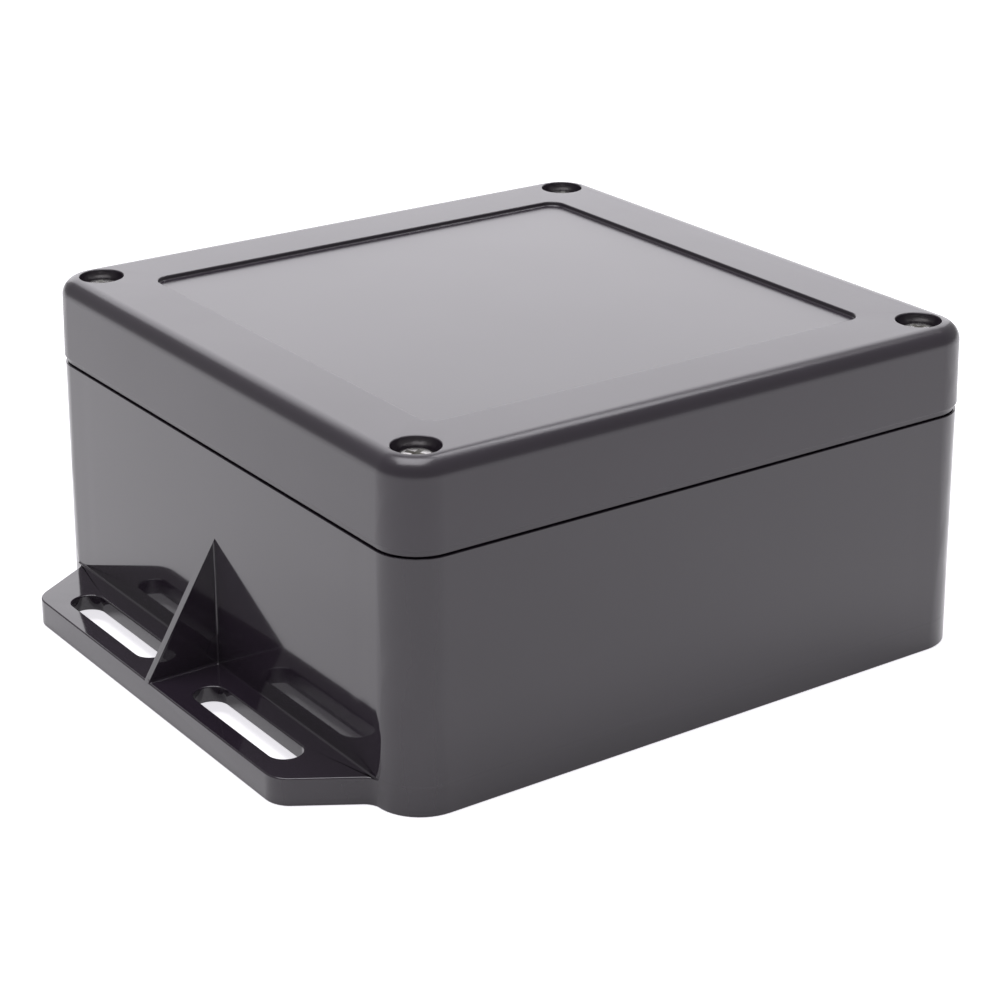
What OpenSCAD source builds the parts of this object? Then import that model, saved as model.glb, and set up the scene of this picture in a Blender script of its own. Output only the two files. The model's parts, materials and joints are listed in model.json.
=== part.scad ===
// Plastic project box with a screwed lid and a mounting flange on two sides.
// X is the width, Y runs from flange to flange, +Z is up.
// The origin is the middle of the underside.

/* [Box] */
// Width of the lid along X, at its lower edge
box_l = 119.5; // [116:0.5:220]
// Depth of the lid along Y, at its lower edge
box_w = 119.5; // [110:0.5:220]
// Height from the underside to the top of the lid
box_h = 60; // [45:1:120]
// Radius of the upright corners of the lid, at its lower edge
corner_r = 8; // [6:0.5:8.5]
// Thickness of the side walls of the base at its rim
wall = 3.5; // [3.4:0.1:4.5]
// How much wider the base is at its foot than at its rim, on each side
base_flare = 0.65; // [0.2:0.05:1.2]
// Thickness of the floor of the base
floor_t = 3; // [2:0.5:5]

/* [Lid] */
// Height of the lid above the seam
lid_h = 15.6; // [13:0.1:25]
// How much narrower the lid is at its top edge than at its lower edge, on each side
lid_taper = 0.3; // [0.1:0.05:0.6]
// Thickness of the lid's top, beside the label recess
top_t = 3; // [2.4:0.1:5]
// Radius that rounds the lid's top edge
top_edge_r = 3.2; // [1:0.1:4.5]
// Width of the border round the label recess
label_border = 14.45; // [13.5:0.05:30]
// Depth of the label recess
label_depth = 0.8; // [0.3:0.1:1.2]
// Corner radius of the label recess
label_r = 3; // [1:0.5:6]

/* [Seam] */
// How far the base stands back from the lid's side
base_set_in = 0.15; // [0.1:0.05:0.6]
// Height of the shadow line under the lid's side
shadow_h = 1.05; // [0.5:0.05:1.6]
// Depth of the shadow line
shadow_in = 0.5; // [0.2:0.05:0.6]
// Gap at the seam, where only the pillars meet
seam_gap = 0.2; // [0.1:0.05:0.4]
// Width of the tongue that the base holds up into the lid
tongue_w = 1.1; // [0.8:0.1:1.2]
// Height of the tongue above the seam
tongue_h = 1.7; // [1:0.1:3]
// Wall of the lid between its hollow and its groove
groove_lip = 0.9; // [0.8:0.1:1.1]
// Clearance on each side of the tongue in the groove
tongue_gap = 0.15; // [0.1:0.05:0.2]
// Thickness of the gasket in the groove
gasket_t = 1; // [0.6:0.1:2]
// Clearance beside the gasket
gasket_side_gap = 0.1; // [0.05:0.05:0.2]
// Room left between the tongue and the relaxed gasket
gasket_room = 0.3; // [0.1:0.1:0.6]

/* [Lid screws] */
// Distance from the lid's sides to each screw's axis
screw_inset = 7.65; // [7:0.05:9]
// Outer radius of the pillars round the screws
pillar_r = 6; // [5.5:0.1:7]
// Diameter of the sunk hole that takes a screw head
sink_d = 8; // [7.6:0.1:9]
// Depth of the head's top below the lid's surface
head_sink = 1.35; // [0.5:0.05:3]
// Diameter of the screw head
head_d = 7; // [6:0.1:7.2]
// Height of the screw head
head_h = 2.4; // [1.8:0.1:3]
// Outer diameter of the screw thread
thread_d = 3.5; // [3:0.1:3.8]
// Length of the screw below its head
screw_l = 20; // [17:0.5:24]
// Clearance hole for the screw in the lid
screw_hole_d = 4; // [3.9:0.1:4.6]

/* [Threaded inserts] */
// Outer diameter of the brass insert
insert_d = 5.2; // [4.8:0.1:5.8]
// Length of the brass insert
insert_l = 8; // [5:0.5:10]
// Depth of the insert's top below the pillar's top
insert_sink = 0.3; // [0:0.1:1]
// Radial clearance of the screw in the insert
thread_gap = 0.05; // [0.02:0.01:0.08]

/* [Flanges] */
// Reach of a flange beyond the side of the lid
flange_reach = 13.85; // [13.2:0.05:18]
// Thickness of a flange at its rim
flange_t = 5; // [4:0.5:8]
// Thickness of a flange where the slots go through
flange_web_t = 3; // [2:0.5:4]
// How far each end of a flange starts in from the end of the flat of the box's side
flange_root_in = 0.8; // [0:0.1:1]
// How far each end of a flange slants in from there to its tip
flange_slant = 8.5; // [4:0.5:9]
// Radius of a flange's outer corners
flange_corner_r = 5; // [2:0.5:7]
// Radius where a flange's ends run into the corners of the base
flange_root_r = 3.5; // [2:0.5:5]
// Width of a mounting slot
slot_w = 6; // [4.5:0.1:6.5]
// Length of a mounting slot from end to end
slot_l = 30.4; // [16:0.2:34]
// Distance between the centres of a flange's two slots
slot_pitch = 45.6; // [42:0.2:46]
// Distance from a flange's outer edge to the middle of its slots
slot_inset = 6.6; // [5.5:0.1:7]

/* [Gussets] */
// Height of the gusset's tip above the underside
gusset_h = 28.5; // [15:0.1:40]
// Thickness of the gusset at its tip
gusset_tip_t = 1.5; // [1:0.1:2]
// Thickness of the gusset at its foot
gusset_foot_t = 2; // [2:0.1:3]

/* [Board mounts] */
// Distance between the standoffs along X
board_x = 76; // [60:1:80]
// Distance between the standoffs along Y
board_y = 76; // [60:1:80]
// Height of a standoff above the floor
standoff_h = 6; // [4:0.5:12]
// Diameter of a standoff
standoff_d = 7; // [6:0.5:9]
// Diameter of the pilot hole in a standoff
pilot_d = 2.9; // [2:0.1:3.5]
// Depth of the pilot hole
pilot_depth = 6.5; // [3:0.5:7]

/* [Hidden] */
$fn = 96;
eps = 0.01;
// lets an arc cross the edges it runs into, in place of only touching them
hair = 0.002;

plastic = [0.27, 0.25, 0.27];
steel = [0.80, 0.80, 0.79];
brass = [0.80, 0.66, 0.36];
rubber = [0.10, 0.10, 0.11];

// corners of the box, as signs of X and Y
FRONT_LEFT = [-1, -1];
FRONT_RIGHT = [1, -1];
BACK_LEFT = [-1, 1];
BACK_RIGHT = [1, 1];
CORNERS = [FRONT_LEFT, FRONT_RIGHT, BACK_LEFT, BACK_RIGHT];

// outer sizes of the base at its rim and of the lid where its top edge starts to round
base_l = box_l - 2 * base_set_in;
base_w = box_w - 2 * base_set_in;
base_r = corner_r - base_set_in;
top_l = box_l - 2 * lid_taper;
top_w = box_w - 2 * lid_taper;
top_r = corner_r - lid_taper;

// levels along Z
seam_z = box_h - lid_h;
rim_z = seam_z - seam_gap;
ceiling_z = box_h - top_t;

// how far the side of the base stands out at height z, beyond its rim
function flare_out(z) = base_flare * (rim_z - z) / rim_z;

// half sizes of the hollow, and where its corners step in round the pillars
hollow_x = base_l / 2 - wall;
hollow_y = base_w / 2 - wall;
screw_x = box_l / 2 - screw_inset;
screw_y = box_w / 2 - screw_inset;
notch_x = screw_x - pillar_r;
notch_y = screw_y - pillar_r;
hollow_corner_r = 1;

// groove in the lid, measured outwards from the hollow
groove_w = tongue_w + 2 * tongue_gap;
groove_depth = tongue_h + gasket_room + gasket_t;
gasket_z = seam_z + tongue_h + gasket_room;

// screw and insert
head_top_z = box_h - head_sink;
head_seat_z = head_top_z - head_h;
thread_end_z = head_seat_z - screw_l;
insert_top_z = seam_z - insert_sink;
insert_seat_z = insert_top_z - insert_l;
insert_bore_r = thread_d / 2 + thread_gap;
insert_fit_gap = 0.02;
tip_room = 2;
tip_hole_r = insert_d / 2 - 0.5;

// flange: where its top meets the side of the base, its outer edge and its slots
flange_y = base_w / 2 + flare_out(flange_t);
flange_edge_y = box_w / 2 + flange_reach;
flange_root_x = base_l / 2 - base_r - flange_root_in;
flange_tip_x = flange_root_x - flange_slant;
slot_y = flange_edge_y - slot_inset;
gusset_y = base_w / 2 + flare_out(gusset_h);
root_sink = 1;

// ---------- plain shapes ----------

// a rectangle about the origin with round corners
module rounded_rect(l, w, r) {
    square([l - 2 * r, w], center = true);
    square([l, w - 2 * r], center = true);
    for (c = CORNERS) translate([c.x * (l / 2 - r), c.y * (w / 2 - r)]) circle(r);
}

// an upright block with round corners that is wider at its foot by grow on each side
module flared_block(l, w, h, r, grow) {
    for (c = CORNERS) translate([c.x * (l / 2 - r), c.y * (w / 2 - r), 0])
        cylinder(h = h, r1 = r + grow, r2 = r);
    rotate([90, 0, 90]) translate([0, 0, r - l / 2])
        linear_extrude(l - 2 * r) flared_section(w, h, grow);
    rotate([90, 0, 0]) translate([0, 0, r - w / 2])
        linear_extrude(w - 2 * r) flared_section(l, h, grow);
}

module flared_section(w, h, grow) {
    polygon([[-w / 2 - grow, 0], [w / 2 + grow, 0], [w / 2, h], [-w / 2, h]]);
}

// a plate as thick as edge_r whose top edge is rounded all round
module crown(l, w, r, edge_r) {
    for (c = CORNERS) translate([c.x * (l / 2 - r), c.y * (w / 2 - r), 0])
        rotate_extrude() crown_profile(r, edge_r);
    rotate([90, 0, 90]) translate([0, 0, r - l / 2])
        linear_extrude(l - 2 * r) crown_section(w, edge_r);
    rotate([90, 0, 0]) translate([0, 0, r - w / 2])
        linear_extrude(w - 2 * r) crown_section(l, edge_r);
}

// half section of a corner of the rounded top, for turning about its axis
module crown_profile(r, edge_r) {
    square([r - edge_r, edge_r]);
    intersection() {
        translate([r - edge_r, 0]) circle(edge_r);
        square([r, edge_r]);
    }
}

// whole section of the rounded top along a side
module crown_section(w, edge_r) {
    translate([edge_r - w / 2, 0]) square([w - 2 * edge_r, edge_r]);
    for (side = [-1, 1]) intersection() {
        translate([side * (w / 2 - edge_r), 0]) circle(edge_r);
        translate([-w / 2, 0]) square([w, edge_r]);
    }
}

// outline of the hollow between the four pillars, grown outwards by out
module hollow_outline(out = 0) {
    nose_r = pillar_r - out;
    rounded_rect(2 * (hollow_x + out), 2 * (notch_y + out), hollow_corner_r + out);
    rounded_rect(2 * (notch_x + out), 2 * (hollow_y + out), hollow_corner_r + out);
    // the hollow runs round each pillar's nose
    for (c = CORNERS) translate([c.x * screw_x, c.y * screw_y]) difference() {
        translate([-c.x * (nose_r + eps) / 2, -c.y * (nose_r + eps) / 2])
            square(nose_r + eps, center = true);
        circle(nose_r);
    }
}

// closed band that follows the hollow, between two distances from it
module seal_band(inner, outer) {
    difference() {
        hollow_outline(outer);
        hollow_outline(inner);
    }
}

module at_screws() {
    for (c = CORNERS) translate([c.x * screw_x, c.y * screw_y, 0]) children();
}

// ---------- base ----------

// plan of one flange, on the side of -Y, with round outer corners and filleted roots
module flange_outline() {
    // one end runs slanting from its outer corner to its root on the flat of the base's side
    root = [flange_root_x, -flange_y];
    tip = [flange_tip_x, -flange_edge_y];
    along = (root - tip) / norm(root - tip);
    tip_cut = flange_corner_r * tan(atan2(along.y, along.x) / 2);
    on_slant = tip + tip_cut * along;
    // the root's fillet touches the slant and the round corner
    corner = [base_l / 2 - base_r, base_r - base_w / 2];
    corner_size = base_r + flare_out(flange_t);
    reach = corner_size + flange_root_r;
    beside = root + flange_root_r * [along.y, -along.x];
    back = (beside - corner) * along;
    slide = back + sqrt(back * back - (beside - corner) * (beside - corner) + reach * reach);
    root_centre = beside - slide * along;
    foot = root - slide * along;
    on_corner = corner + (root_centre - corner) * corner_size / reach;
    inside = corner + (root_centre - corner) * (corner_size - root_sink) / reach;
    polygon([[-root.x, root_sink - flange_y], [-root.x, root.y], [-on_slant.x, on_slant.y],
        [tip_cut - tip.x, tip.y], [tip.x - tip_cut, tip.y], on_slant,
        root, [root.x, root_sink - flange_y]]);
    for (side = [0, 1]) mirror([side, 0]) {
        translate([tip.x - tip_cut, tip.y + flange_corner_r]) circle(flange_corner_r + hair);
        difference() {
            polygon([foot, on_corner, inside, [foot.x - 3, inside.y], [foot.x - 3, foot.y]]);
            translate(root_centre) circle(flange_root_r + hair);
        }
    }
}

module slot_outline() {
    travel = (slot_l - slot_w) / 2;
    square([2 * travel, slot_w], center = true);
    for (side = [-1, 1]) translate([side * travel, 0]) circle(slot_w / 2);
}

// one flange on the side of -Y: a plate cored out from below, with two slots
module flange() {
    rim = slot_inset - slot_w / 2 - 1.4;
    core_l = 2 * flange_tip_x + 1;
    core_y = box_w / 2 + 1.2;
    core_w = flange_edge_y - rim - core_y;
    difference() {
        linear_extrude(flange_t) flange_outline();
        translate([0, -core_y - core_w / 2, -eps])
            linear_extrude(flange_t - flange_web_t + eps) rounded_rect(core_l, core_w, 2);
        for (side = [-1, 1]) translate([side * slot_pitch / 2, -slot_y, -1])
            linear_extrude(flange_t + 2) slot_outline();
    }
}

// triangular rib that props the wall from the flange, thinner at its tip
module gusset() {
    // its slope runs on into the wall by root_sink, and its sides run on past its tip
    inner_y = gusset_y - root_sink;
    inner_h = gusset_h + root_sink * (gusset_h - flange_t) / (flange_edge_y - gusset_y);
    side_h = inner_h + 1;
    thinning = (gusset_foot_t - gusset_tip_t) / (gusset_h - flange_t);
    side_t = gusset_foot_t - thinning * (side_h - flange_t);
    intersection() {
        rotate([90, 0, 90]) translate([0, 0, -gusset_foot_t]) linear_extrude(2 * gusset_foot_t)
            polygon([[-inner_y, flange_t - root_sink], [-flange_edge_y, flange_t - root_sink],
                [-flange_edge_y, flange_t], [-inner_y, inner_h]]);
        rotate([90, 0, 0]) translate([0, 0, inner_y - 1]) linear_extrude(flange_edge_y)
            polygon([[-gusset_foot_t / 2, 0], [gusset_foot_t / 2, 0], [gusset_foot_t / 2, flange_t],
                [side_t / 2, side_h], [-side_t / 2, side_h], [-gusset_foot_t / 2, flange_t]]);
    }
}

module standoff() {
    linear_extrude(floor_t + standoff_h) circle(d = standoff_d);
    rotate_extrude() polygon([[0, floor_t - eps], [standoff_d / 2 + 1, floor_t - eps],
        [standoff_d / 2 + 1, floor_t], [standoff_d / 2, floor_t + 1], [0, floor_t + 1]]);
}

module base() {
    color(plastic) difference() {
        union() {
            difference() {
                flared_block(base_l, base_w, rim_z, base_r, base_flare);
                translate([0, 0, floor_t]) linear_extrude(box_h) hollow_outline();
            }
            // the tongue, and the pads that carry the lid
            translate([0, 0, rim_z - 1]) linear_extrude(1 + seam_gap + tongue_h)
                seal_band(groove_lip + tongue_gap, groove_lip + tongue_gap + tongue_w);
            at_screws() translate([0, 0, rim_z - 1])
                linear_extrude(1 + seam_gap) circle(r = insert_d / 2 + 0.8);
            for (side = [0, 180]) rotate(side) {
                flange();
                gusset();
            }
            for (c = CORNERS) translate([c.x * board_x / 2, c.y * board_y / 2, 0]) standoff();
        }
        at_screws() {
            translate([0, 0, insert_seat_z]) cylinder(h = box_h, r = insert_d / 2 + insert_fit_gap);
            translate([0, 0, thread_end_z - tip_room]) cylinder(h = box_h, r = tip_hole_r);
        }
        for (c = CORNERS) translate([c.x * board_x / 2, c.y * board_y / 2, 0])
            translate([0, 0, floor_t + standoff_h - pilot_depth]) cylinder(h = pilot_depth + 1, d = pilot_d);
    }
}

// ---------- lid ----------

module lid() {
    color(plastic) difference() {
        union() {
            translate([0, 0, seam_z]) linear_extrude(shadow_h + 1)
                rounded_rect(box_l - 2 * shadow_in, box_w - 2 * shadow_in, corner_r - shadow_in);
            translate([0, 0, seam_z + shadow_h])
                flared_block(top_l, top_w, lid_h - shadow_h - top_edge_r, top_r, lid_taper);
            translate([0, 0, box_h - top_edge_r]) crown(top_l, top_w, top_r, top_edge_r);
        }
        // hollow, groove and label recess
        translate([0, 0, seam_z - 1]) linear_extrude(ceiling_z - seam_z + 1) hollow_outline();
        translate([0, 0, seam_z - 1]) linear_extrude(groove_depth + 1)
            seal_band(groove_lip, groove_lip + groove_w);
        translate([0, 0, box_h - label_depth]) linear_extrude(label_depth + 1)
            rounded_rect(box_l - 2 * label_border, box_w - 2 * label_border, label_r);
        // screw holes, sunk for the heads
        at_screws() {
            translate([0, 0, seam_z - 1]) cylinder(h = lid_h + 2, d = screw_hole_d);
            translate([0, 0, head_seat_z]) cylinder(h = lid_h, d = sink_d);
        }
    }
}

module lid_gasket() {
    color(rubber) translate([0, 0, gasket_z]) linear_extrude(gasket_t)
        seal_band(groove_lip + gasket_side_gap, groove_lip + groove_w - gasket_side_gap);
}

// ---------- screws and inserts ----------

// pan head screw with a cross recess
module lid_screw(corner) {
    head_r = head_d / 2;
    side_h = 0.45 * head_h;
    dome_h = head_h - side_h;
    flat_r = head_r - dome_h;
    blade_w = 0.9;
    blade_l = 0.54 * head_d;
    recess_h = 0.6 * head_h;
    tip_h = 0.5;
    color(steel) translate([corner.x * screw_x, corner.y * screw_y, head_seat_z]) {
        difference() {
            rotate_extrude() {
                square([head_r, side_h]);
                square([flat_r, head_h]);
                intersection() {
                    translate([flat_r, side_h]) circle(dome_h);
                    translate([0, side_h]) square([head_r, dome_h]);
                }
            }
            translate([0, 0, head_h - recess_h]) for (turn = [0, 90]) rotate(turn)
                translate([-blade_l / 2, -blade_w / 2, 0]) cube([blade_l, blade_w, recess_h + 1]);
        }
        translate([0, 0, tip_h - screw_l]) cylinder(h = screw_l - tip_h + side_h / 2, d = thread_d);
        translate([0, 0, -screw_l]) cylinder(h = tip_h, d1 = thread_d - 2 * tip_h, d2 = thread_d);
    }
}

// brass bush with two collars and a plain bore
module insert(corner) {
    collar_h = insert_l * 0.4;
    waist_r = insert_d / 2 - 0.4;
    bevel = 0.3;
    color(brass) translate([corner.x * screw_x, corner.y * screw_y, insert_seat_z])
        rotate_extrude() polygon([[insert_bore_r, 0], [insert_d / 2 - bevel, 0], [insert_d / 2, bevel],
            [insert_d / 2, collar_h], [waist_r, collar_h], [waist_r, insert_l - collar_h],
            [insert_d / 2, insert_l - collar_h], [insert_d / 2, insert_l - bevel],
            [insert_d / 2 - bevel, insert_l], [insert_bore_r + bevel, insert_l],
            [insert_bore_r, insert_l - bevel]]);
}

base();
lid();
lid_gasket();
lid_screw(FRONT_LEFT);  // lid_screw_front_left
lid_screw(FRONT_RIGHT);  // lid_screw_front_right
lid_screw(BACK_LEFT);  // lid_screw_back_left
lid_screw(BACK_RIGHT);  // lid_screw_back_right
insert(FRONT_LEFT);  // insert_front_left
insert(FRONT_RIGHT);  // insert_front_right
insert(BACK_LEFT);  // insert_back_left
insert(BACK_RIGHT);  // insert_back_right
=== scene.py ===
# %% [markdown]
# # A plastic project box
# The box is moulded in black ABS: a base with a mounting flange on two sides, and a lid that four
# screws hold down on a rubber gasket. The CAD model fixes every size. Here each piece gets the small
# rounded edges and the surface of the real one, and the set is a pale studio sweep.

# %% Load the CAD frame
import json
import math

import bpy
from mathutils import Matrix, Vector


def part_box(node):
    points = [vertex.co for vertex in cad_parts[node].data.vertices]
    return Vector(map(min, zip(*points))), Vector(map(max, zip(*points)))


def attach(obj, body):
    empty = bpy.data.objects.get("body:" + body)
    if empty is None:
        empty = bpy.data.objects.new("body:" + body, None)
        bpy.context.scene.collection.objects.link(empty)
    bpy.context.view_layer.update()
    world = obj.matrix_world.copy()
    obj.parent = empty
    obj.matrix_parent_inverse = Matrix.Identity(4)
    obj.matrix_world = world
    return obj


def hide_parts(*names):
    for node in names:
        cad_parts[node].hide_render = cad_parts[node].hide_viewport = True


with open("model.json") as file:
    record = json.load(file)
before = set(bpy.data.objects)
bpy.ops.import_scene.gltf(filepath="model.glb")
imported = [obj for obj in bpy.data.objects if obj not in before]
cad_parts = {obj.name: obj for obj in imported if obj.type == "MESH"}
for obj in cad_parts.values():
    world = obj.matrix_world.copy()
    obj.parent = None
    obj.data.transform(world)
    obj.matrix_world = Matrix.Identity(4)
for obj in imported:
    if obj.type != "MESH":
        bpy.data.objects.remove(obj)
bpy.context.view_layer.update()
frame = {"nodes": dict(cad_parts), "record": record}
MM = 0.001
record = frame["record"]
BODY_OF = {node: body for body, nodes in record["behaviour"]["bodies"].items() for node in nodes}
print("nodes:", sorted(frame["nodes"]))

# %% [markdown]
# ## Sizes
# Everything below is worked out from the boxes of the CAD nodes, so that a change to the part moves
# the finishes and the new pieces with it. A node's box gives its lowest and highest corner. The label
# panel has no box of its own, so its edge is found among the lid's points at the panel's level.

# %% Read sizes from the frame
CORNERS = {"front_left": (-1, -1), "front_right": (1, -1), "back_left": (-1, 1), "back_right": (1, 1)}
screw_low, screw_high = (Vector(c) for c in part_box("lid_screw_front_right"))
insert_low, insert_high = (Vector(c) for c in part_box("insert_front_right"))
screw_axis = (screw_low + screw_high) / 2
head_r = (screw_high.x - screw_low.x) / 2
insert_r = (insert_high.x - insert_low.x) / 2
seam_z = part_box("lid")[0][2]
mounts = {mount["name"]: mount for mount in record["mounts"]}
panel_z = mounts["label_panel"]["pos_m"][2]
flange_top = mounts["flange_slots"]["pos_m"][2]
lid_points = [v.co for v in frame["nodes"]["lid"].data.vertices]
panel_half = max(p.x for p in lid_points if abs(p.z - panel_z) < 0.01 * MM)
print("seam at %.1f mm, screws at %.1f mm" % (seam_z / MM, screw_axis.x / MM))
print("label panel %.1f mm wide at %.1f mm" % (2 * panel_half / MM, panel_z / MM))

# %% [markdown]
# ## Camera
# The lens looks down a little on the corner between a flanged side and a plain side. An Empty could be
# the target of a constraint, but a direction turned into a rotation leaves nothing behind in the file.

# %% Place the camera
camera = bpy.data.objects.new("camera", bpy.data.cameras.new("camera"))
bpy.context.collection.objects.link(camera)
camera.data.sensor_width = 36
camera.data.lens = 92.6
camera.data.clip_start, camera.data.clip_end = 0.02, 20
camera.location = (0.3570, -0.2509, 0.2009)
look = Vector((0.01785, -0.01245, 0.0300)) - camera.location
camera.rotation_mode = "QUATERNION"
camera.rotation_quaternion = look.to_track_quat("-Z", "Y")
bpy.context.scene.camera = camera
bpy.context.scene.view_settings.view_transform = "Standard"
print("camera %.0f mm from its aim" % (look.length / MM))

# %% [markdown]
# ## Node helpers
# A finish is a web of nodes, and arithmetic in it soon becomes hard to read. The first class wraps an
# output socket, so that `1 - mask` or `noise * 0.2` adds the Math node by itself. In the second, one
# method makes any other node: its settings go in first, then the values or wires of its sockets.

# %% Wrap sockets and nodes
class Wire:
    """An output socket that takes part in arithmetic."""

    def __init__(self, web, socket):
        self.web, self.socket = web, socket

    def math(self, operation, first, second=0.0):
        return self.web.node("ShaderNodeMath", {"operation": operation}, {0: first, 1: second})

    def __add__(self, other): return self.math("ADD", self, other)
    def __radd__(self, other): return self.math("ADD", other, self)
    def __sub__(self, other): return self.math("SUBTRACT", self, other)
    def __rsub__(self, other): return self.math("SUBTRACT", other, self)
    def __mul__(self, other): return self.math("MULTIPLY", self, other)
    def __rmul__(self, other): return self.math("MULTIPLY", other, self)
    def __pow__(self, other): return self.math("POWER", self, other)
    def __abs__(self): return self.math("ABSOLUTE", self)
    def wave(self, length): return self.math("SINE", self * (2 * math.pi / length))
    def above(self, edge, soft): return self.web.ramp(self, edge - soft, edge + soft)
    def below(self, edge, soft): return 1 - self.above(edge, soft)


class Web:
    """A node tree, and the ways to add nodes to it."""

    def __init__(self, tree):
        self.tree = tree

    def node(self, kind, settings=None, sockets=None, out=0):
        made = self.tree.nodes.new(kind)
        for name, value in (settings or {}).items():
            setattr(made, name, value)
        for name, value in (sockets or {}).items():
            self.join(value, made.inputs[name])
        return Wire(self, made.outputs[out])

    def join(self, value, socket):
        if isinstance(value, Wire):
            self.tree.links.new(value.socket, socket)
        else:
            socket.default_value = value

    def ramp(self, value, low, high):
        settings = {"interpolation_type": "SMOOTHSTEP"}
        return self.node("ShaderNodeMapRange", settings, {"Value": value, "From Min": low, "From Max": high})

    def mix(self, factor, first, second):
        settings = {"data_type": "RGBA", "clamp_factor": True}
        return self.node("ShaderNodeMix", settings, {0: factor, 6: first, 7: second}, out=2)


class Finish(Web):
    """One material: its shader, its place on the piece, and its textures."""

    def __init__(self, name, **fixed):
        self.material = bpy.data.materials.new(name)
        self.material.use_nodes = True
        super().__init__(self.material.node_tree)
        self.shader = self.tree.nodes["Principled BSDF"]
        self.coords = self.node("ShaderNodeTexCoord", out="Object")
        self.x, self.y, self.z = (self.along(axis) for axis in range(3))
        for socket, value in fixed.items():
            self.shader.inputs[socket.replace("_", " ")].default_value = value

    def along(self, axis):
        """The place on the piece along one axis."""
        return self.node("ShaderNodeSeparateXYZ", {}, {0: self.coords}, axis)

    def noise(self, size, detail=2.0, roughness=0.5, place=None):
        """Noise whose blotches are about size metres across, between 0 and 1."""
        sockets = {"Vector": place or self.coords, "Scale": 0.5 / size}
        sockets.update({"Detail": detail, "Roughness": roughness})
        return self.node("ShaderNodeTexNoise", {}, sockets)

    def bump(self, height, distance, under=None):
        sockets = {"Height": height, "Distance": distance, "Strength": 1.0}
        if under:
            sockets["Normal"] = under
        return self.node("ShaderNodeBump", {}, sockets)

    def feed(self, **wires):
        for socket, wire in wires.items():
            self.join(wire, self.shader.inputs[socket.replace("_", " ")])
        print("%s: %d nodes" % (self.material.name, len(self.tree.nodes)))
        return self.material


def tone(level, tint=(1, 1, 1)):
    return (level * tint[0], level * tint[1], level * tint[2], 1)

# %% [markdown]
# ## Black ABS of the base
# The base comes out of a polished mould, so its walls reflect like a slightly wavy mirror. The plastic
# itself is almost black with a trace of purple; what looks grey is the reflection of the pale set.
# Thick places behind a wall shrink as they cool and leave a shallow sink, here in front of each
# screw pillar. The thin flanges ripple more than the walls. A clear coat over the shader's own gloss
# gives the strong reflection of polished plastic, and a few specks of dust lie on everything.

# %% Make the base's plastic
ABS_TINT = (1.36, 1.0, 1.52)
SPECK_COLOUR = tone(0.30)


def dust(finish, share):
    """Tiny pale specks, 1 where there is one."""
    cells_per_mm, speck_r, speck_edge = 0.26, 0.03, 0.01
    cells = {"Vector": finish.coords, "Scale": cells_per_mm / MM}
    near = finish.node("ShaderNodeTexVoronoi", {}, cells, out="Distance")
    chosen = finish.node("ShaderNodeTexVoronoi", {}, cells, out="Color")
    chance = finish.node("ShaderNodeSeparateColor", {}, {0: chosen}, out=0)
    return near.below(speck_r, speck_edge) * chance.above(1 - share, 0.002)


def sinks(finish):
    """Shallow upright hollows in the walls in front of each pillar, from 0 to 1 at their middle."""
    pillar_inset, half_width = 5.0 * MM, 1.6 * MM
    pillar_middle = screw_axis.x - pillar_inset
    along_x = abs(abs(finish.x) - pillar_middle).below(half_width, half_width)
    along_y = abs(abs(finish.y) - pillar_middle).below(half_width, half_width)
    return along_x + along_y


def make_abs_base():
    f = Finish("abs_base", IOR=1.53, Coat_Weight=1.0, Coat_IOR=1.5, Coat_Roughness=0.04)
    specks = dust(f, 0.012)
    black = f.mix(f.noise(9 * MM, 3), tone(0.021, ABS_TINT), tone(0.027, ABS_TINT))
    rough = 0.06 + 0.05 * f.noise(14 * MM, 3) + 0.35 * specks
    on_flange = f.z.below(flange_top + 0.3 * MM, 0.2 * MM)
    slow = f.bump(f.noise(24 * MM, 1), 0.10 * MM)
    ripple = f.bump(on_flange * f.noise(7 * MM, 1), 0.10 * MM, slow)
    sunk = f.bump(0 - sinks(f), 0.02 * MM, ripple)
    grain = f.bump(f.noise(0.35 * MM, 2), 0.0015 * MM, sunk)
    return f.feed(Base_Color=f.mix(specks, black, SPECK_COLOUR), Roughness=rough, Normal=grain)


abs_base = make_abs_base()

# %% [markdown]
# ## Satin ABS of the lid
# The lid's mould is finely sparked, which gives a satin skin that blurs reflections and glitters a
# little. The sunk label panel is smoother, so that a label sticks to it, and it looks a little lighter.
# One material holds both: a mask on the place in the lid changes the roughness.

# %% Make the lid's plastic
def make_abs_lid():
    f = Finish("abs_lid", IOR=1.53, Coat_Weight=1.0, Coat_IOR=1.5, Coat_Roughness=0.22)
    panel = abs(f.x).below(panel_half, 0.02 * MM) * abs(f.y).below(panel_half, 0.02 * MM)
    panel = panel * f.z.below(panel_z + 0.1 * MM, 0.05 * MM) * f.z.above(panel_z - 0.5 * MM, 0.05 * MM)
    specks = dust(f, 0.008)
    black = f.mix(f.noise(7 * MM, 4), tone(0.022, ABS_TINT), tone(0.029, ABS_TINT))
    rough = 0.30 + 0.08 * f.noise(12 * MM, 3) - 0.10 * panel
    spark = f.bump(f.noise(0.22 * MM, 3, 0.6) * (1 - 0.5 * panel), 0.004 * MM)
    return f.feed(Base_Color=f.mix(specks, black, SPECK_COLOUR), Roughness=rough, Normal=spark)


abs_lid = make_abs_lid()

# %% [markdown]
# ## Steel, brass and rubber
# The screws are plated steel, turned on a lathe, so fine rings run round their heads. The inserts are
# turned brass with a thread in the bore, too fine to be worth modelling where nothing shows it: a wave
# along the axis does as bump. The gasket is matt black rubber with a bloom of grey.

# %% Make the metals and the rubber
def from_axis(finish):
    """Distance from the nearest screw axis."""
    off_x, off_y = abs(finish.x) - screw_axis.x, abs(finish.y) - screw_axis.x
    return (off_x * off_x + off_y * off_y) ** 0.5


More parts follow.
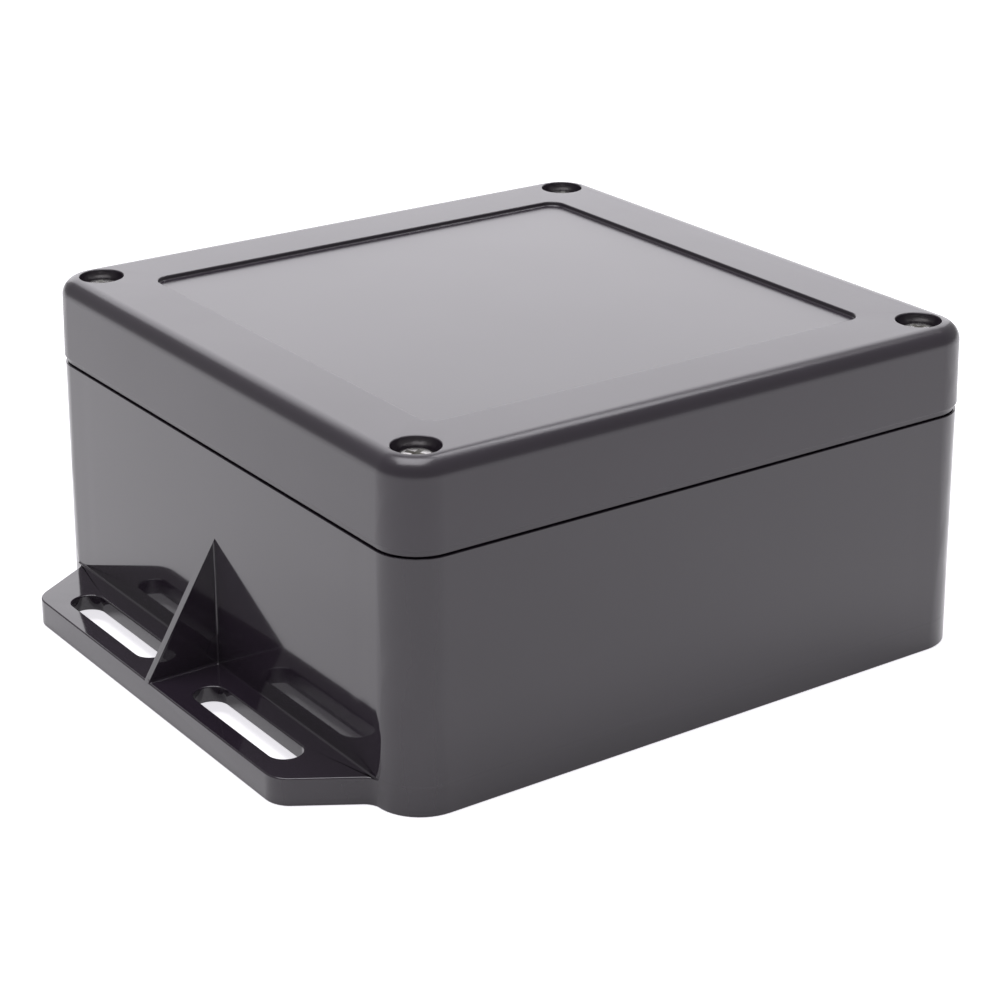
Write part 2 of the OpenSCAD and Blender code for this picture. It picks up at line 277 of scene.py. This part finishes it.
def make_steel():
    f = Finish("plated_steel", Metallic=1.0)
    rings = f.node("ShaderNodeCombineXYZ", {}, {0: from_axis(f), 1: 0.0, 2: f.z})
    turned = f.noise(0.06 * MM, 2, place=rings)
    stain = f.noise(1.2 * MM, 3)
    colour = f.mix(stain, tone(0.78, (1.0, 0.99, 0.97)), tone(0.66, (1.0, 0.97, 0.93)))
    return f.feed(Base_Color=colour, Roughness=0.16 + 0.14 * stain, Normal=f.bump(turned, 0.002 * MM))


def make_brass():
    f = Finish("turned_brass", Metallic=1.0)
    in_bore = from_axis(f).below(insert_r - 0.6 * MM, 0.05 * MM)
    thread = f.z.wave(0.6 * MM) * in_bore
    worn = f.noise(0.9 * MM, 3)
    colour = f.mix(worn, tone(0.80, (1.0, 0.74, 0.36)), tone(0.62, (1.0, 0.70, 0.34)))
    return f.feed(Base_Color=colour, Roughness=0.22 + 0.15 * worn, Normal=f.bump(thread, 0.10 * MM))


def make_rubber():
    f = Finish("black_rubber", IOR=1.5)
    bloom = f.noise(3 * MM, 4)
    colour = f.mix(bloom, tone(0.018), tone(0.040))
    skin = f.bump(f.noise(0.15 * MM, 3), 0.006 * MM)
    return f.feed(Base_Color=colour, Roughness=0.62 + 0.2 * bloom, Normal=skin)


steel, brass, rubber = make_steel(), make_brass(), make_rubber()

# %% [markdown]
# ## Softened edges
# No moulded edge is perfectly sharp, and it is the narrow curve along an edge that catches the light.
# The CAD mesh is left alone; a copy of it has its doubles merged and its sharp edges bevelled. A bevel
# shader would only fake this in one renderer. Each edge carries a weight, so that the fine edges along
# the seam stay crisper than the rest. The normals are then weighted by area, so that the big faces
# stay flat and only the narrow curves turn.

# %% Copy a CAD node and soften its edges
MERGE_GAP = 0.002 * MM
SHARP_ANGLE, SMOOTH_ANGLE = math.radians(35), math.radians(40)
SEAM_BELOW, SEAM_ABOVE = 0.5 * MM, 1.5 * MM


def only(piece):
    """Selects one object and nothing else."""
    bpy.ops.object.select_all(action="DESELECT")
    piece.select_set(True)
    bpy.context.view_layer.objects.active = piece


def smooth(piece):
    """Smooth shading with flat big faces."""
    only(piece)
    bpy.ops.object.shade_smooth_by_angle(angle=SMOOTH_ANGLE)
    weighted = piece.modifiers.new("flat_faces", "WEIGHTED_NORMAL")
    weighted.weight, weighted.keep_sharp = 100, True
    bpy.ops.object.modifier_apply(modifier=weighted.name)


def stand_in(piece, node, material):
    """Gives a finished piece its material and lets it stand for a CAD node."""
    piece.data.materials.clear()
    piece.data.materials.append(material)
    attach(piece, BODY_OF[node])
    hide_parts(node)
    print("%s: %d faces" % (piece.name, len(piece.data.polygons)))


def softened(node, name, radius, seam_radius):
    piece = bpy.data.objects.new(name, frame["nodes"][node].data.copy())
    bpy.context.collection.objects.link(piece)
    only(piece)
    bpy.ops.object.mode_set(mode="EDIT")
    bpy.ops.mesh.select_mode(type="EDGE")
    bpy.ops.mesh.select_all(action="SELECT")
    bpy.ops.mesh.customdata_custom_splitnormals_clear()
    bpy.ops.mesh.remove_doubles(threshold=MERGE_GAP)
    bpy.ops.mesh.select_all(action="DESELECT")
    bpy.ops.mesh.edges_select_sharp(sharpness=SHARP_ANGLE)
    bpy.ops.object.mode_set(mode="OBJECT")
    weights = piece.data.attributes.new("bevel_weight_edge", "FLOAT", "EDGE")
    for edge in piece.data.edges:
        heights = [piece.data.vertices[v].co.z for v in edge.vertices]
        at_seam = min(heights) > seam_z - SEAM_BELOW and max(heights) < seam_z + SEAM_ABOVE
        sharp_weight = seam_radius / radius if at_seam else 1.0
        weights.data[edge.index].value = sharp_weight if edge.select else 0.0
    bevel = piece.modifiers.new("edges", "BEVEL")
    bevel.width, bevel.segments, bevel.limit_method = radius, 3, "WEIGHT"
    bevel.use_clamp_overlap, bevel.loop_slide = False, False
    bpy.ops.object.modifier_apply(modifier=bevel.name)
    smooth(piece)
    return piece


stand_in(softened("base", "base_moulding", 0.28 * MM, 0.12 * MM), "base", abs_base)
stand_in(softened("lid", "lid_moulding", 0.25 * MM, 0.14 * MM), "lid", abs_lid)
stand_in(softened("lid_gasket", "gasket_ring", 0.2 * MM, 0.2 * MM), "lid_gasket", rubber)

# %% [markdown]
# ## Helpers for modelling by hand
# A primitive is added at its place, and its place is moved into its mesh at once. Faces are then picked
# by where they lie, and shaped in edit mode.

# %% Pick faces by place
def settled(name):
    """Names the newest object and moves its place into its mesh."""
    piece = bpy.context.object
    piece.name = name
    bpy.ops.object.transform_apply(location=True, rotation=True, scale=True)
    return piece


def done():
    bpy.ops.object.mode_set(mode="OBJECT")


def pick(piece, test):
    """Opens edit mode with only the faces selected whose centre and normal pass the test."""
    done()
    only(piece)
    bpy.ops.object.mode_set(mode="EDIT")
    bpy.ops.mesh.select_mode(type="FACE")
    bpy.ops.mesh.select_all(action="DESELECT")
    bpy.ops.object.mode_set(mode="OBJECT")
    for face in piece.data.polygons:
        face.select = test(face.center, face.normal)
    bpy.ops.object.mode_set(mode="EDIT")


def joined(first, *others):
    """Joins pieces into the first one."""
    only(first)
    for piece in others:
        piece.select_set(True)
    bpy.ops.object.join()
    return first


def cut(piece, tool):
    """Takes the tool's shape out of the piece."""
    only(piece)
    boolean = piece.modifiers.new("cut", "BOOLEAN")
    boolean.operation, boolean.object, boolean.solver = "DIFFERENCE", tool, "EXACT"
    bpy.ops.object.modifier_apply(modifier=boolean.name)
    bpy.data.objects.remove(tool)

# %% [markdown]
# ## Lid screws
# Each lid screw is a pan head machine screw with a cross recess. The head is a cylinder whose top edge
# is bevelled into a dome; the shank is extruded from its underside; the thread is a small ridge that
# the Screw modifier winds down the shank; and a tapered cross cuts the recess. A turned outline would
# do for the head too, but not for the recess or the thread.

# %% Model the front right screw
HEAD_H = 2.4 * MM
SIDE_H = 0.45 * HEAD_H
PITCH = 0.6 * MM
THREAD_R = 1.75 * MM
ROOT_R = THREAD_R - 0.58 * PITCH
UNDER_EDGE = 0.12 * MM
TIP_H = 0.6 * MM
screw_spot = Vector((screw_axis.x, -screw_axis.x, 0))
seat_z = screw_high.z - HEAD_H


def make_head():
    middle = screw_spot + Vector((0, 0, seat_z + HEAD_H / 2))
    bpy.ops.mesh.primitive_cylinder_add(vertices=64, radius=head_r, depth=HEAD_H, location=middle)
    head = settled("screw_head")
    pick(head, lambda centre, normal: normal.z > 0.9)
    bpy.ops.mesh.bevel(offset=HEAD_H - SIDE_H, segments=10, affect="EDGES", clamp_overlap=False)
    pick(head, lambda centre, normal: normal.z < -0.9)
    bpy.ops.mesh.bevel(offset=UNDER_EDGE, segments=2, affect="EDGES", clamp_overlap=False)
    pick(head, lambda centre, normal: normal.z < -0.9)
    bpy.ops.mesh.inset(thickness=head_r - UNDER_EDGE - ROOT_R)
    shank = seat_z - screw_low.z - TIP_H
    bpy.ops.mesh.extrude_region_move(TRANSFORM_OT_translate={"value": (0, 0, -shank)})
    bpy.ops.mesh.extrude_region_move(TRANSFORM_OT_translate={"value": (0, 0, -TIP_H)})
    narrow = (0.55, 0.55, 1)
    bpy.ops.transform.resize(value=narrow, center_override=(screw_spot.x, screw_spot.y, screw_low.z))
    done()
    return head


def make_thread():
    low, high = screw_low.z + 0.7 * MM, seat_z - 1.1 * MM
    sunk_in_shank, crest_share = 0.05 * MM, 0.16
    ridge_h = THREAD_R - ROOT_R + sunk_in_shank
    start = screw_spot + Vector((THREAD_R - ridge_h / 2, 0, low))
    bpy.ops.mesh.primitive_plane_add(size=1, location=start, rotation=(math.pi / 2, 0, 0))
    bpy.context.object.scale = (ridge_h, 0.86 * PITCH, 1)
    ridge = settled("screw_thread")
    only(ridge)
    bpy.ops.object.mode_set(mode="EDIT")
    bpy.ops.mesh.select_all(action="SELECT")
    bpy.ops.mesh.delete(type="ONLY_FACE")
    done()
    for point in ridge.data.vertices:
        if point.co.x > start.x:
            point.co.z = low + (point.co.z - low) * crest_share
    bpy.context.scene.cursor.location = screw_spot
    bpy.ops.object.origin_set(type="ORIGIN_CURSOR")
    wind = ridge.modifiers.new("wind", "SCREW")
    wind.axis, wind.steps, wind.render_steps = "Z", 24, 24
    wind.screw_offset, wind.iterations = PITCH, int((high - low) / PITCH)
    wind.use_merge_vertices, wind.use_normal_calculate = True, True
    bpy.ops.object.modifier_apply(modifier=wind.name)
    bpy.ops.object.transform_apply(location=True)
    bpy.ops.object.mode_set(mode="EDIT")
    bpy.ops.mesh.select_all(action="SELECT")
    bpy.ops.mesh.fill_holes(sides=4)
    bpy.ops.mesh.normals_make_consistent(inside=False)
    done()
    return ridge


def make_cross():
    """The recess's shape: two blades that narrow downwards."""
    depth, length, width = 1.75 * MM, 0.56 * 2 * head_r, 0.95 * MM
    above_head, foot_scale = 0.4 * MM, (0.42, 0.62, 1)
    middle = screw_spot + Vector((0, 0, screw_high.z - depth / 2))
    blades = []
    for name in ("blade_along_x", "blade_along_y"):
        bpy.ops.mesh.primitive_cube_add(size=1, location=middle)
        bpy.context.object.scale = (length, width, depth + above_head)
        blade = settled(name)
        pick(blade, lambda centre, normal: normal.z < -0.9)
        foot = (middle.x, middle.y, middle.z - depth / 2)
        bpy.ops.transform.resize(value=foot_scale, center_override=foot)
        done()
        blades.append(blade)
    pick(blades[1], lambda centre, normal: True)
    bpy.ops.transform.rotate(value=math.pi / 2, orient_axis="Z", center_override=tuple(middle))
    done()
    return blades


head = make_head()
for blade in make_cross():
    cut(head, blade)
screw = joined(head, make_thread())
screw.name = "screw_model"
smooth(screw)
print("screw: %d faces, head %.1f mm wide" % (len(screw.data.polygons), 2 * head_r / MM))

# %% [markdown]
# ## Threaded inserts
# A brass insert is pressed hot into each pillar, and its ribs bite into the plastic. It starts as a
# cylinder, which is sliced at the heights of its two collars. The waist between them is drawn in, every
# other face of the collars is pushed out into a rib, and the bore bridges the two ends.

# %% Model the front right insert
BORE_R = THREAD_R + 0.05 * MM
RIB = 0.14 * MM
SIDES = 48
CHAMFER_H = 0.4 * MM


def make_insert():
    length = insert_high.z - insert_low.z
    collar, body_r = 0.4 * length, insert_r - RIB
    middle = screw_spot + Vector((0, 0, insert_low.z + length / 2))
    bpy.ops.mesh.primitive_cylinder_add(vertices=SIDES, radius=body_r, depth=length, location=middle)
    insert = settled("insert_model")
    for height in (CHAMFER_H, collar, length - collar, length - CHAMFER_H):
        pick(insert, lambda centre, normal: True)
        bpy.ops.mesh.bisect(plane_co=(0, 0, insert_low.z + height), plane_no=(0, 0, 1))
    done()
    pick(insert, lambda centre, normal: abs(centre.z - middle.z) < 0.05 * length and abs(normal.z) < 0.1)
    bpy.ops.transform.resize(value=(0.9, 0.9, 1), center_override=tuple(middle))

    def is_rib(centre, normal):
        on_collar = 0.12 * length < abs(centre.z - middle.z) < length / 2 - CHAMFER_H
        turn = math.atan2(centre.y - middle.y, centre.x - middle.x) / (2 * math.pi) * SIDES
        return on_collar and abs(normal.z) < 0.1 and math.floor(turn) % 2 == 0

    pick(insert, is_rib)
    bpy.ops.mesh.extrude_region_shrink_fatten(TRANSFORM_OT_shrink_fatten={"value": RIB})
    bpy.ops.transform.resize(value=(1, 1, 0.94), center_override=tuple(middle))
    pick(insert, lambda centre, normal: abs(normal.z) > 0.9 and abs(centre.z - middle.z) > 0.45 * length)
    bpy.ops.mesh.inset(thickness=body_r - BORE_R, use_individual=True)
    bpy.ops.mesh.bridge_edge_loops()
    done()
    return insert


insert = make_insert()
only(insert)
bpy.ops.object.shade_smooth_by_angle(angle=math.radians(30))
print("insert: %d faces" % len(insert.data.polygons))

# %% [markdown]
# ## One screw and one insert at each corner
# The finished pieces are copied to the other corners, each with its own mesh. A screwdriver leaves
# each recess turned another way, so each screw is turned about its own axis by its own angle.

# %% Copy them to the corners
TURNS = {"front_left": 20, "front_right": 64, "back_left": 47, "back_right": 5}


def copied(piece, name, corner):
    side_x, side_y = CORNERS[corner]
    spot = Vector((side_x * screw_axis.x, side_y * screw_axis.x, 0))
    copy = bpy.data.objects.new(name, piece.data.copy())
    bpy.context.collection.objects.link(copy)
    pick(copy, lambda centre, normal: True)
    bpy.ops.transform.translate(value=spot - screw_spot)
    bpy.ops.transform.rotate(value=math.radians(TURNS[corner]), orient_axis="Z", center_override=tuple(spot))
    done()
    return copy


for corner in CORNERS:
    stand_in(copied(screw, "screw_" + corner, corner), "lid_screw_" + corner, steel)
    stand_in(copied(insert, "bush_" + corner, corner), "insert_" + corner, brass)
bpy.data.objects.remove(screw)
bpy.data.objects.remove(insert)

# %% [markdown]
# ## Studio
# The floor is white and carries on behind the box. Lamps light it. For the camera it also glows, so
# that it reads as a white sweep, and for reflections it glows a little, as the far parts of a lit
# studio floor would. The world around it is dim for the box and white for the camera.

# %% Lay the floor and set the world
LAMP_TINT = (1.02, 1.0, 1.05)
CAMERA_GLOW, GLOSS_GLOW = 0.75, 0.22


def make_floor():
    f = Finish("studio_floor", Roughness=1.0, Base_Color=tone(0.86), Emission_Color=tone(1.0, LAMP_TINT))
    f.shader.inputs["Specular IOR Level"].default_value = 0.0
    for_camera = f.node("ShaderNodeLightPath", out="Is Camera Ray")
    for_gloss = f.node("ShaderNodeLightPath", out="Is Glossy Ray")
    f.join(CAMERA_GLOW * for_camera + GLOSS_GLOW * for_gloss, f.shader.inputs["Emission Strength"])
    bpy.ops.object.select_all(action="DESELECT")
    bpy.ops.mesh.primitive_plane_add(size=8, location=(0, 0, 0))
    floor = settled("studio_floor")
    floor.data.materials.append(f.material)


def make_world(level):
    world = bpy.data.worlds.new("studio_world")
    world.use_nodes = True
    bpy.context.scene.world = world
    w = Web(world.node_tree)
    for_camera = w.node("ShaderNodeLightPath", out="Is Camera Ray")
    colour = w.mix(for_camera, tone(level), tone(1.0))
    w.join(colour, w.tree.nodes["Background"].inputs["Color"])


make_floor()
make_world(0.25)

# %% [markdown]
# ## Lamps
# A large soft panel behind the left shoulder of the box is what the lid reflects, a soft box overhead
# lights the set, and a narrow lamp high at the back draws the thin highlight along the rounded edge.

# %% Hang the lamps
BOX_MIDDLE = Vector((0, 0, 0.03))


def lamp(name, direction, distance, width, height, radiance):
    """A rectangular lamp at a direction from the box, facing it. Its radiance is what a mirror shows."""
    light = bpy.data.lights.new(name, "AREA")
    light.shape, light.size, light.size_y = "RECTANGLE", width, height
    light.color = LAMP_TINT
    light.energy = radiance * math.pi * width * height
    holder = bpy.data.objects.new(name, light)
    bpy.context.collection.objects.link(holder)
    way = Vector(direction).normalized()
    holder.location = way * distance + BOX_MIDDLE
    holder.rotation_mode = "QUATERNION"
    holder.rotation_quaternion = (-way).to_track_quat("-Z", "Y")
    holder.visible_camera = False
    print("%s: %.1f W" % (name, light.energy))


lamp("panel_back_left", (-0.80, 0.50, 0.36), 1.6, 1.7, 1.2, 1.0)
lamp("strip_back", (-0.15, 0.53, 0.83), 1.0, 0.5, 0.10, 5.0)
lamp("soft_box_overhead", (-0.08, -0.08, 1.0), 1.2, 0.9, 0.9, 3.1)
